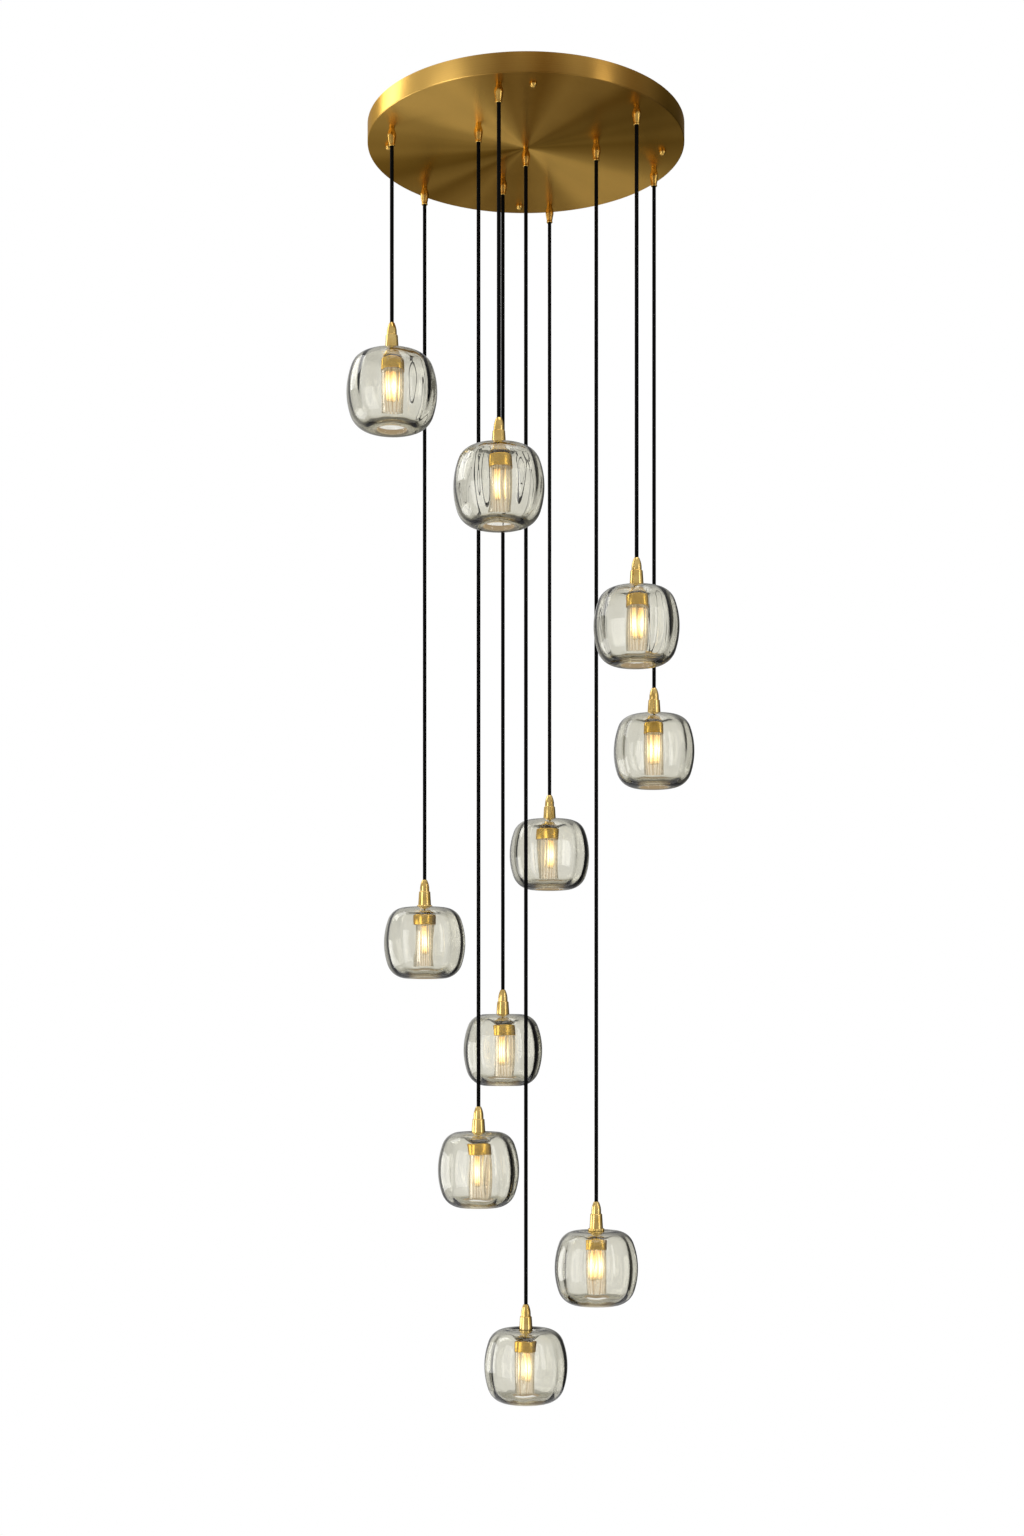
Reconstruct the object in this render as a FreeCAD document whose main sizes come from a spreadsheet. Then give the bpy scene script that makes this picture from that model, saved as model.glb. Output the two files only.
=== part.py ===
import FreeCAD, Part
import Sketcher
import math
import os
import re

# Ten-light cluster pendant. The frame's origin is the centre of the ceiling bracket's top
# face, +Z up, and everything hangs below it. X runs left to right and the viewer looks
# along +Y. Lamps are numbered from the highest to the lowest. Lengths in millimetres.

outerLamps = 6
innerLamps = 3
lampCount = outerLamps + innerLamps + 1
studCount = 4
fluteCount = 20
notchCount = 16
filamentCount = 4

sizes = {
    # ceiling pan
    "canopy_radius": 250, "canopy_depth": 30, "canopy_sheet": 1.2, "canopy_edge": 1.5,
    # where the lamps hang: two rings round a centre lamp, and their first angles. A margin
    # is measured inwards from the pan's rim.
    "outer_margin": 30, "outer_start": 199.15, "inner_ring": 112.5, "inner_start": 109.15,
    # cross bracket under the ceiling
    "bracket_sheet": 2, "bracket_width": 25, "bracket_margin": 18, "bracket_turn": 2.5,
    "hub_radius": 42, "supply_hole": 15, "ceiling_hole": 2.75, "ceiling_hole_ring": 150,
    "stud_radius": 2.5, "stud_margin": 33, "stud_tip": 5.5, "stud_gap": 0.4,
    "cap_nut_radius": 5.6, "cap_nut_skirt": 2.6, "cap_nut_dome": 5,
    "thread_gap": 0.05,
    # junction block and its screws
    "block_radius": 31, "block_height": 10, "block_well": 12, "block_well_depth": 6,
    "screw_radius": 2, "screw_ring": 21, "screw_head": 3.6, "screw_head_height": 2.4,
    "screw_head_flat": 2.2,
    "earth_screw_ring": 62, "earth_screw_length": 9,
    # cord, the grips in the canopy and the tails above them
    "cord_radius": 3, "cord_gap": 0.3, "tail_gap": 0.4, "tail_height": 22, "tail_bend": 9,
    "grip_length": 30, "grip_shank": 4, "grip_neck": 4.4, "grip_neck_length": 3,
    "grip_belly": 6.8, "grip_belly_drop": 12.5, "grip_tip": 4.5, "grip_bead": 5,
    "grip_bead_height": 2.2, "grip_bead_edge": 0.6, "grip_upper_bend": 13, "grip_lower_bend": 40,
    "grip_thread": 8, "nut_flats": 13, "nut_height": 4, "hole_gap": 0.15,
    # brass fitting of a lamp, from the cord down
    "mouth_gap": 0.4, "cap_tip": 3.95, "cap_base": 7.7, "cap_height": 19, "cap_bend": 34,
    "cap_skirt": 3, "body_top": 9.3, "body_base": 10.7, "body_height": 23, "body_edge": 0.8,
    "ring_radius": 12.8, "ring_height": 7, "ring_notch": 1.3, "ring_edge": 0.9,
    "gasket_radius": 12, "gasket_height": 0.8,
    "nipple_radius": 5, "nipple_bore": 3.8, "nipple_in_body": 10, "nipple_in_holder": 5,
    "lock_nut_flats": 14, "lock_nut_height": 3,
    "cup_radius": 18, "cup_height": 18.5, "cup_sheet": 1.2, "cup_edge": 2,
    "holder_radius": 10, "holder_drop": 0.5,
    # blown globe
    "glass_height": 117, "glass_wall": 5, "glass_base": 8, "glass_hole_gap": 0.6,
    "side_bend": 110, "shoulder_bend": 30, "foot_bend": 34, "glass_mouth": 22,
    "dimple_floor": 14.5, "dimple_slope": 9,
    # fluted sleeve and bulb
    "sleeve_radius": 16.5, "sleeve_wall": 2.2, "sleeve_below_cup": 72, "sleeve_in_cup": 12,
    "flute_radius": 3, "flute_depth": 0.6,
    "bulb_radius": 8, "bulb_wall": 0.9, "bulb_below_cup": 50,
    "bulb_base_radius": 6.8, "bulb_base_height": 8, "socket_gap": 0.3,
    "filament_radius": 0.8, "filament_ring": 3, "filament_length": 36,
    "filament_stem": 3, "filament_stem_radius": 4.6,
}

# The drop is from the canopy's underside to the middle of the globe. Blown globes differ:
# each has its own diameter and its own dimple under the fitting.
drops = [410, 597, 788, 944, 1097, 1250, 1427, 1612, 1770, 1927]
glassDiameters = [141, 136, 131, 132, 135, 135, 129, 126, 132, 133]
dimples = [1, 6, 4, 6, 8, 4, 10, 11, 4, 11]
for lamp in range(1, lampCount + 1):
    sizes[f"drop_of_{lamp}"] = drops[lamp - 1]
    sizes[f"glass_width_{lamp}"] = glassDiameters[lamp - 1]
    sizes[f"dimple_of_{lamp}"] = dimples[lamp - 1]

doc = FreeCAD.newDocument("ClusterPendant")
sheet = doc.addObject("Spreadsheet::Sheet", "Sizes")
for row, (alias, value) in enumerate(sizes.items(), start=1):
    sheet.set(f"A{row}", alias.replace("_", " "))
    sheet.set(f"B{row}", str(value))
    sheet.setAlias(f"B{row}", alias)
doc.recompute()


def bound(text):
    """Points every size named in text at its cell."""
    return re.sub(r"[a-z]\w*", lambda m: f"Sizes.{m[0]}" if m[0] in sizes else m[0], text)


def number(text):
    """The value that text has now."""
    return float(sheet.evalExpression(bound(text)))


def tie(item, path, text):
    item.setExpression(path, bound(text))


def place(item, x="0", y="0", z="0", turn="0"):
    paths = ("Base.x", "Base.y", "Base.z", "Rotation.Angle")
    for path, text in zip(paths, (x, y, z, turn)):
        if text != "0":
            tie(item, f"Placement.{path}", text)
    return item


def newBody(label):
    body = doc.addObject("PartDesign::Body", label)
    body.Label = label
    body.AllowCompound = True
    return body


def originPart(body, role):
    return next(part for part in body.Origin.OriginFeatures if part.Role == role)


def newSketch(body, name, plane):
    sketch = body.newObject("Sketcher::SketchObject", f"{body.Name}_{name}")
    sketch.AttachmentSupport = [(originPart(body, plane), "")]
    sketch.MapMode = "FlatFace"
    return sketch


def limit(sketch, kind, geometry, point, text):
    """Holds one coordinate of a point, or one radius, at the value of text."""
    if text == "0":
        axis = -2 if kind == "DistanceX" else -1
        sketch.addConstraint(Sketcher.Constraint("PointOnObject", geometry, point, axis))
        return
    where = (geometry,) if kind == "Radius" else (geometry, point)
    index = sketch.addConstraint(Sketcher.Constraint(kind, *where, number(text)))
    tie(sketch, f"Constraints[{index}]", text)


def arcBetween(start, end, radius):
    """The short arc from start to end: its centre is on the left if radius is positive."""
    chord = end - start
    half = chord.Length / 2
    left = FreeCAD.Vector(-chord.y, chord.x, 0).normalize()
    rise = math.sqrt(max(radius * radius - half * half, 0))
    centre = (start + end) / 2 + left * math.copysign(rise, radius)
    first, last = (start, end) if radius > 0 else (end, start)
    angles = [math.atan2(p.y - centre.y, p.x - centre.x) for p in (first, last)]
    circle = Part.Circle(centre, FreeCAD.Vector(0, 0, 1), abs(radius))
    return Part.ArcOfCircle(circle, *angles)


def outline(body, name, corners, plane="XZ_Plane", closed=True):
    """Lines and arcs through corners. A corner is its two coordinates, and an arc's radius
    if an arc leads on to the next corner: with a minus sign, the arc turns clockwise."""
    sketch = newSketch(body, name, plane)
    points = [FreeCAD.Vector(number(c[0]), number(c[1]), 0) for c in corners]
    edges = len(corners) if closed else len(corners) - 1
    tails = []
    for i in range(edges):
        start, end = points[i], points[(i + 1) % len(points)]
        if len(corners[i]) > 2:
            radius = number(corners[i][2])
            sketch.addGeometry(arcBetween(start, end, radius))
            tails.append(1 if radius > 0 else 2)
        else:
            sketch.addGeometry(Part.LineSegment(start, end))
            tails.append(1)
    for i in range(edges if closed else edges - 1):
        after = (i + 1) % edges
        join = Sketcher.Constraint("Coincident", i, 3 - tails[i], after, tails[after])
        sketch.addConstraint(join)
    for i, corner in enumerate(corners):
        edge, point = (i, tails[i]) if i < edges else (edges - 1, 3 - tails[-1])
        limit(sketch, "DistanceX", edge, point, corner[0])
        limit(sketch, "DistanceY", edge, point, corner[1])
        if len(corner) > 2:
            limit(sketch, "Radius", edge, 0, corner[2].lstrip("-"))
    return sketch


def circles(body, name, spots, plane="XY_Plane"):
    """Circles, each given as its centre's two coordinates and its radius."""
    sketch = newSketch(body, name, plane)
    for i, (x, y, radius) in enumerate(spots):
        centre = FreeCAD.Vector(number(x), number(y), 0)
        sketch.addGeometry(Part.Circle(centre, FreeCAD.Vector(0, 0, 1), number(radius)))
        limit(sketch, "DistanceX", i, 3, x)
        limit(sketch, "DistanceY", i, 3, y)
        limit(sketch, "Radius", i, 0, radius)
    return sketch


def revolve(body, corners, name="profile"):
    """A solid of revolution from corners given as radius and height."""
    turned = body.newObject("PartDesign::Revolution", f"{body.Name}_{name}_turned")
    turned.Profile = outline(body, name, corners)
    turned.ReferenceAxis = (turned.Profile[0], ["V_Axis"])
    turned.Angle = 360
    return turned


def pad(body, sketch, height, offset="0"):
    padded = body.newObject("PartDesign::Pad", f"{sketch.Name}_pad")
    padded.Profile = sketch
    tie(padded, "Length", height)
    if offset != "0":
        tie(sketch, "AttachmentOffset.Base.z", offset)
    return padded


def cutThrough(body, sketch):
    cut = body.newObject("PartDesign::Pocket", f"{sketch.Name}_cut")
    cut.Profile = sketch
    cut.Type = "ThroughAll"
    cut.Midplane = True
    return cut


def repeatRound(body, feature, count):
    pattern = body.newObject("PartDesign::PolarPattern", f"{feature.Name}_round")
    pattern.Originals = [feature]
    pattern.Axis = (originPart(body, "Z_Axis"), [""])
    pattern.Angle = 360
    pattern.Occurrences = count
    body.Tip = pattern
    return pattern


def hexNut(label, flats, height, bore):
    """A hexagon nut that stands on its origin."""
    nut = newBody(label)
    corner = f"{flats} / cos(30) / 2"
    points = [(f"{corner} * cos({60 * i})", f"{corner} * sin({60 * i})") for i in range(6)]
    points[0] = (corner, "0")
    points[3] = (f"-{corner}", "0")
    pad(nut, outline(nut, "hexagon", points, "XY_Plane"), height)
    cutThrough(nut, circles(nut, "bore", [("0", "0", bore)]))
    return nut


def copyOf(label, pieces, x="0", y="0", z="0", turn="0"):
    """A separate set of the pieces, moved as one."""
    group = doc.addObject("Part::Compound", label)
    group.Label = label
    group.Links = pieces
    return place(group, x, y, z, turn)


outerRing = "(canopy_radius - outer_margin)"
studRing = "(canopy_radius - stud_margin)"


# Where each lamp hangs, as a pair of formulas for X and Y
def hangingPoint(lamp):
    if lamp == lampCount:
        return "0", "0"
    if lamp <= outerLamps:
        ring, angle = outerRing, f"(outer_start + {lamp - 1} * 360 / {outerLamps})"
    else:
        turns = lamp - outerLamps - 1
        ring, angle = "inner_ring", f"(inner_start + {turns} * 360 / {innerLamps})"
    return f"{ring} * cos{angle}", f"{ring} * sin{angle}"


lamps = range(1, lampCount + 1)
nodes = []


# ---- ceiling pan: a spun sheet with a rolled lower edge, open at the top
def makeCanopy():
    canopy = newBody("canopy")
    wall = "(canopy_radius - canopy_sheet)"
    innerEdge = "(canopy_edge - canopy_sheet)"
    revolve(canopy, [
        ("0", "0"), ("canopy_radius - canopy_edge", "0", "canopy_edge"),
        ("canopy_radius", "canopy_edge"), ("canopy_radius", "canopy_depth"),
        (wall, "canopy_depth"), (wall, "canopy_edge", f"-{innerEdge}"),
        (f"{wall} - {innerEdge}", "canopy_sheet"), ("0", "canopy_sheet")])
    grip, stud = "grip_shank + hole_gap", "stud_radius + stud_gap"
    cutThrough(canopy, circles(canopy, "centre_hole", [("0", "0", grip)]))
    for name, ring, start, radius, count in (
            ("outer_hole", outerRing, "outer_start", grip, outerLamps),
            ("inner_hole", "inner_ring", "inner_start", grip, innerLamps),
            ("stud_hole", studRing, "bracket_turn", stud, studCount)):
        spot = (f"{ring} * cos({start})", f"{ring} * sin({start})", radius)
        cut = cutThrough(canopy, circles(canopy, name, [spot]))
        repeatRound(canopy, cut, count)
    return place(canopy, z="-canopy_depth")


# ---- cross bracket with its hub, screwed flat to the ceiling
def makeBracket():
    bracket = newBody("ceiling_bracket")
    side, reach = "bracket_width / 2", "(canopy_radius - bracket_margin)"
    for name, x, y in (("arm_x", reach, side), ("arm_y", side, reach)):
        corners = [(x, y), (f"-{x}", y), (f"-{x}", f"-{y}"), (x, f"-{y}")]
        pad(bracket, outline(bracket, name, corners, "XY_Plane"), "bracket_sheet")
    pad(bracket, circles(bracket, "hub", [("0", "0", "hub_radius")]), "bracket_sheet")
    cutThrough(bracket, circles(bracket, "supply", [("0", "0", "supply_hole")]))
    diagonal = "screw_ring * cos(45)"
    singles = [(diagonal, diagonal, "screw_radius"),
               (f"-{diagonal}", f"-{diagonal}", "screw_radius"),
               ("0", "earth_screw_ring", "screw_radius")]
    cutThrough(bracket, circles(bracket, "screw_holes", singles))
    for name, ring, radius in (("ceiling_holes", "ceiling_hole_ring", "ceiling_hole"),
                               ("stud_holes", studRing, "stud_radius")):
        cut = cutThrough(bracket, circles(bracket, name, [(ring, "0", radius)]))
        repeatRound(bracket, cut, studCount)
    return place(bracket, z="-bracket_sheet", turn="bracket_turn")


def onStuds(label, piece, z):
    """A copy of the piece at each of the bracket's four studs."""
    spots = []
    for i in range(studCount):
        angle = f"(bracket_turn + {i} * 360 / {studCount})"
        x, y = f"{studRing} * cos{angle}", f"{studRing} * sin{angle}"
        spots.append(copyOf(f"{label}_{i + 1}", [piece], x, y, z))
    return copyOf(label, spots)


def makeStuds():
    stud = newBody("stud")
    length = "(canopy_depth + stud_tip)"
    revolve(stud, [("0", "0"), ("stud_radius", "0"), ("stud_radius", length), ("0", length)])
    return onStuds("bracket_studs", stud, f"-{length}")


def makeCapNuts():
    """Domed nuts: a short skirt under the pan, closed by a round dome."""
    nut = newBody("cap_nut")
    bore, depth = "stud_radius + thread_gap", "(stud_tip + tail_gap)"
    dome = "(cap_nut_radius ^ 2 + cap_nut_dome ^ 2) / (2 * cap_nut_dome)"
    revolve(nut, [
        ("0", "-cap_nut_skirt - cap_nut_dome", dome), ("cap_nut_radius", "-cap_nut_skirt"),
        ("cap_nut_radius", "0"), (bore, "0"), (bore, f"-{depth}"), ("0", f"-{depth}")])
    return onStuds("cap_nuts", nut, "-canopy_depth")


# ---- round junction block under the hub, and the screws of the bracket
def makeJunctionBlock():
    block = newBody("junction_block")
    well = "block_height - block_well_depth"
    revolve(block, [
        ("0", "0"), ("block_radius", "0"), ("block_radius", "block_height"),
        ("block_well", "block_height"), ("block_well", well), ("0", well)])
    diagonal = "screw_ring * cos(45)"
    hole = "screw_radius + hole_gap"
    cutThrough(block, circles(block, "screw_holes", [
        (diagonal, diagonal, hole), (f"-{diagonal}", f"-{diagonal}", hole)]))
    return place(block, z="-bracket_sheet - block_height", turn="bracket_turn")


def panScrew(label, length):
    """A pan head screw, head down, its shank ending level with its origin."""
    screw = newBody(label)
    revolve(screw, [
        ("0", "0"), ("0", f"-{length} - screw_head_height"),
        ("screw_head_flat", f"-{length} - screw_head_height"),
        ("screw_head", f"-{length} - screw_head_height / 2"), ("screw_head", f"-{length}"),
        ("screw_radius", f"-{length}"), ("screw_radius", "0")])
    return screw


def makeBracketScrews():
    long = panScrew("block_screw", "(bracket_sheet + block_height)")
    short = panScrew("earth_screw", "earth_screw_length")
    spots = []
    for name, piece, ring, angle in (("block_screw_1", long, "screw_ring", 45),
                                     ("block_screw_2", long, "screw_ring", 225),
                                     ("earth_screw_1", short, "earth_screw_ring", 90)):
        turn = f"(bracket_turn + {angle})"
        spots.append(copyOf(name, [piece], f"{ring} * cos{turn}", f"{ring} * sin{turn}"))
    return copyOf("bracket_screws", spots)


# ---- cord grips in the pan, their nuts, and the cord tails that run on to the block
def makeGrip():
    """An acorn grip: neck, belly and tip, with a bead at its mouth and a threaded shank."""
    grip = newBody("canopy_grip")
    bore = "cord_radius + cord_gap"
    revolve(grip, [
        (bore, "-grip_length"), ("grip_tip", "-grip_length"),
        ("grip_bead", "-grip_length + grip_bead_edge"),
        ("grip_bead", "-grip_length + grip_bead_height"),
        ("grip_tip", "-grip_length + grip_bead_height + grip_bead_edge", "grip_lower_bend"),
        ("grip_belly", "-grip_belly_drop", "grip_upper_bend"),
        ("grip_neck", "-grip_neck_length"), ("grip_neck", "0"), ("grip_shank", "0"),
        ("grip_shank", "grip_thread"), (bore, "grip_thread")])
    return grip


def atLamps(label, piece, z):
    """A copy of the piece over each lamp."""
    spots = [copyOf(f"{label}_{lamp}", [piece], *hangingPoint(lamp), z) for lamp in lamps]
    return copyOf(label, spots)


def makeTail(label, ring, count):
    """The cord's tail: up through its grip, round a bend and in to the junction block."""
    tail = newBody(label)
    start = "-(grip_length - cord_radius - tail_gap)"
    path = outline(tail, "path", [
        (ring, start), (ring, "tail_height - tail_bend", "tail_bend"),
        (f"{ring} - tail_bend", "tail_height"),
        ("block_radius + tail_gap", "tail_height")], closed=False)
    section = circles(tail, "section", [(ring, "0", "cord_radius")])
    tie(section, "AttachmentOffset.Base.z", start)
    pipe = tail.newObject("PartDesign::AdditivePipe", f"{label}_pipe")
    pipe.Profile = section
    pipe.Spine = (path, ["Edge1", "Edge2", "Edge3"])
    repeatRound(tail, pipe, count)
    return tail


def makeTails():
    outer = place(makeTail("outer_tails", outerRing, outerLamps), turn="outer_start")
    inner = place(makeTail("inner_tails", "inner_ring", innerLamps), turn="inner_start")
    centre = newBody("centre_tail")
    low = "-(grip_length - cord_radius - tail_gap)"
    high = "canopy_depth - bracket_sheet - block_height"
    revolve(centre, [("0", low), ("cord_radius", low), ("cord_radius", high), ("0", high)])
    return copyOf("cord_tails", [outer, inner, centre], z="-canopy_depth")


# ---- free cord of one lamp, with rounded ends that turn in the mouths of grip and cap
stackAboveSeat = "(gasket_height + ring_height + body_height + cap_height)"


def seatHeight(lamp):
    """The top face of the globe under the fitting, below the ceiling."""
    return f"(-canopy_depth - drop_of_{lamp} + glass_height / 2 - dimple_of_{lamp})"


def makeCord(lamp):
    cord = newBody(f"cord_{lamp}")
    grip = "(-canopy_depth - grip_length)"
    length = f"({grip} - {seatHeight(lamp)} - {stackAboveSeat})"
    revolve(cord, [
        ("0", "-cord_radius", "cord_radius"), ("cord_radius", "0"),
        ("cord_radius", length, "cord_radius"), ("0", f"{length} + cord_radius")])
    x, y = hangingPoint(lamp)
    return place(cord, x, y, f"{seatHeight(lamp)} + {stackAboveSeat}")


# ---- brass fitting of a lamp, with heights from the globe's seat
def makeFittingPieces():
    thread = "nipple_radius + thread_gap"
    mouth = "cord_radius + mouth_gap"

    ring = newBody("knurled_ring")
    revolve(ring, [
        (thread, "0"), ("ring_radius - ring_edge", "0"), ("ring_radius", "ring_edge"),
        ("ring_radius", "ring_height - ring_edge"),
        ("ring_radius - ring_edge", "ring_height"), (thread, "ring_height")])
    notch = circles(ring, "notch", [("ring_radius + ring_notch / 2", "0", "ring_notch")])
    repeatRound(ring, cutThrough(ring, notch), notchCount)
    place(ring, z="gasket_height")

    body = newBody("stem_body")
    revolve(body, [
        (thread, "0"), ("body_base", "0"), ("body_top", "body_height - body_edge"),
        ("body_top - body_edge", "body_height"), (mouth, "body_height"),
        (mouth, "nipple_in_body"), (thread, "nipple_in_body")])
    place(body, z="gasket_height + ring_height")

    cap = newBody("stem_cap")
    revolve(cap, [
        (mouth, "0"), ("cap_base", "0"), ("cap_base", "cap_skirt", "cap_bend"),
        ("cap_tip", "cap_height"), (mouth, "cap_height")])
    place(cap, z="gasket_height + ring_height + body_height")

    gasket = newBody("gasket")
    hole = "nipple_radius + glass_hole_gap"
    revolve(gasket, [
        (hole, "0"), ("gasket_radius", "0"), ("gasket_radius", "gasket_height"),
        (hole, "gasket_height")])
    lowerGasket = copyOf("lower_gasket", [gasket], z="-glass_wall - gasket_height")

    cupTop = "(-glass_wall - gasket_height)"
    cup = newBody("cup")
    inside = "cup_radius - cup_sheet"
    revolve(cup, [
        (thread, f"{cupTop} - cup_sheet"),
        (f"{inside} - (cup_edge - cup_sheet)", f"{cupTop} - cup_sheet",
         "-(cup_edge - cup_sheet)"),
        (inside, f"{cupTop} - cup_edge"), (inside, f"{cupTop} - cup_height"),
        ("cup_radius", f"{cupTop} - cup_height"),
        ("cup_radius", f"{cupTop} - cup_edge", "cup_edge"),
        ("cup_radius - cup_edge", cupTop), (thread, cupTop)])

    nutTop = f"({cupTop} - cup_sheet)"
    nut = hexNut("lock_nut", "lock_nut_flats", "lock_nut_height", thread)
    place(nut, z=f"{nutTop} - lock_nut_height")

    nipple = newBody("nipple")
    low = f"({nutTop} - lock_nut_height - nipple_in_holder)"
    high = "gasket_height + ring_height + nipple_in_body"
    revolve(nipple, [
        ("nipple_bore", low), ("nipple_radius", low), ("nipple_radius", high),
        ("nipple_bore", high)])

    holder = newBody("lampholder")
    top = f"({nutTop} - lock_nut_height)"
    bottom = f"({cupTop} - cup_height + holder_drop)"
    socket = "bulb_base_radius + socket_gap"
    pinTop = f"({bottom} + bulb_base_height)"
    revolve(holder, [
        (socket, bottom), ("holder_radius", bottom), ("holder_radius", top),
        (thread, top), (thread, f"{top} - nipple_in_holder"),
        ("0", f"{top} - nipple_in_holder"), ("0", pinTop), (socket, pinTop)])
    return [cap, body, ring, gasket, lowerGasket, nipple, nut, cup, holder]


def makeSleevePiece():
    """Clear tube with hollow flutes down its outside, open at both ends."""
    sleeve = newBody("fluted_tube")
    inside = "sleeve_radius - sleeve_wall"
    low = "(-glass_wall - gasket_height - cup_height - sleeve_below_cup)"
    high = "(-glass_wall - gasket_height - cup_height + sleeve_in_cup)"
    revolve(sleeve, [
        (inside, low), ("sleeve_radius", low), ("sleeve_radius", high), (inside, high)])
    flute = circles(sleeve, "flute", [
        ("sleeve_radius + flute_radius - flute_depth", "0", "flute_radius")])
    repeatRound(sleeve, cutThrough(sleeve, flute), fluteCount)
    return sleeve


def makeBulbPieces():
    """A slim push-in bulb: base, clear envelope, filaments on a stem."""
    low = "(-glass_wall - gasket_height - cup_height - bulb_below_cup)"
    seat = "(-glass_wall - gasket_height - cup_height + holder_drop)"

    base = newBody("bulb_base")
    top = f"({seat} + bulb_base_height - socket_gap)"
    revolve(base, [
        ("0", seat), ("bulb_base_radius", seat), ("bulb_base_radius", top), ("0", top)])

    envelope = newBody("bulb_envelope")
    inner = "bulb_radius - bulb_wall"
    roof = f"({seat} - socket_gap)"
    revolve(envelope, [
        ("0", low, "bulb_radius"), ("bulb_radius", f"{low} + bulb_radius"),
        ("bulb_radius", roof), ("bulb_base_radius - bulb_wall", roof),
        ("bulb_base_radius - bulb_wall", f"{roof} - bulb_wall"),
        (inner, f"{roof} - bulb_wall"), (inner, f"{low} + bulb_radius", f"-({inner})"),
        ("0", f"{low} + bulb_wall")])

    filament = newBody("filaments")
    stemBase = f"({seat} - filament_stem)"
    hub = circles(filament, "stem", [("0", "0", "filament_stem_radius")])
    pad(filament, hub, "filament_stem", stemBase)
    stick = circles(filament, "stick", [("filament_ring", "0", "filament_radius")])
    sticks = pad(filament, stick, "filament_length", f"{stemBase} - filament_length")
    repeatRound(filament, sticks, filamentCount)
    return [base, envelope, filament]


# ---- blown globe: dimpled top with a hole, wide shoulders, thick flat foot with a mouth
def makeGlobe(lamp):
    """Its side, shoulder and foot are arcs that run smoothly into each other."""
    globe = newBody(f"shade_{lamp}")
    outside = f"(glass_width_{lamp} / 2)"
    sideCentre = f"({outside} - side_bend)"
    middle = "(glass_height / 2)"

    def smoothCorner(side, corner, height):
        """The corner arc's centre, and the point where it runs into the side's arc."""
        reach = f"sqrt(({side} - {corner}) ^ 2 - ({height} - {middle}) ^ 2)"
        along = f"{side} / ({side} - {corner})"
        touch = (f"{sideCentre} + {reach} * {along}",
                 f"{middle} + ({height} - {middle}) * {along}")
        return f"({sideCentre} + {reach})", touch

    top = "(glass_height - shoulder_bend)"
    shoulder, shoulderTouch = smoothCorner("side_bend", "shoulder_bend", top)
    foot, footTouch = smoothCorner("side_bend", "foot_bend", "foot_bend")
    innerSide = "(side_bend - glass_wall)"
    innerShoulder, innerFoot = "(shoulder_bend - glass_wall)", "(foot_bend - glass_base)"
    _, innerTop = smoothCorner(innerSide, innerShoulder, top)
    heel, innerLow = smoothCorner(innerSide, innerFoot, "foot_bend")
    dimple = f"(glass_height - dimple_of_{lamp})"
    hole = "nipple_radius + glass_hole_gap"
    crest = "dimple_floor + dimple_slope"
    revolve(globe, [
        ("glass_mouth", "0"), (foot, "0", "foot_bend"), (*footTouch, "side_bend"),
        (*shoulderTouch, "shoulder_bend"), (shoulder, "glass_height"),
        (crest, "glass_height"), ("dimple_floor", dimple), (hole, dimple),
        (hole, f"{dimple} - glass_wall"), ("dimple_floor", f"{dimple} - glass_wall"),
        (crest, "glass_height - glass_wall"),
        (shoulder, "glass_height - glass_wall", f"-{innerShoulder}"),
        (*innerTop, f"-{innerSide}"), (*innerLow, f"-{innerFoot}"),
        (heel, "glass_base"), ("glass_mouth", "glass_base")])
    x, y = hangingPoint(lamp)
    return place(globe, x, y, f"-canopy_depth - drop_of_{lamp} - glass_height / 2")


nodes += [makeCanopy(), makeBracket(), makeStuds(), makeCapNuts(), makeJunctionBlock()]
nodes += [makeBracketScrews(), atLamps("canopy_grips", makeGrip(), "-canopy_depth")]
gripNut = hexNut("grip_nut", "nut_flats", "nut_height", "grip_shank + thread_gap")
nodes += [atLamps("grip_nuts", gripNut, "-canopy_depth + canopy_sheet"), makeTails()]

fittingPieces = makeFittingPieces()
sleevePiece = makeSleevePiece()
bulbPieces = makeBulbPieces()
for lamp in lamps:
    x, y = hangingPoint(lamp)
    seat = seatHeight(lamp)
    nodes += [makeCord(lamp), makeGlobe(lamp)]
    nodes.append(copyOf(f"fitting_{lamp}", fittingPieces, x, y, seat))
    nodes.append(copyOf(f"sleeve_{lamp}", [sleevePiece], x, y, seat))
    nodes.append(copyOf(f"bulb_{lamp}", bulbPieces, x, y, seat))
doc.recompute()

faults = [item.Name for item in doc.Objects if {"Invalid", "Error"} & set(item.State)]
faults += [n.Label for n in nodes if n.Shape.isNull() or not n.Shape.isValid()]
if faults:
    raise RuntimeError(f"these did not build: {faults}")

os.makedirs("parts", exist_ok=True)
for node in nodes:
    node.Shape.exportStep(f"parts/{node.Label}.step")
print(len(nodes), "nodes written")
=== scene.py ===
import bpy, bmesh, math
from mathutils import Matrix, Vector, noise


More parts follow.
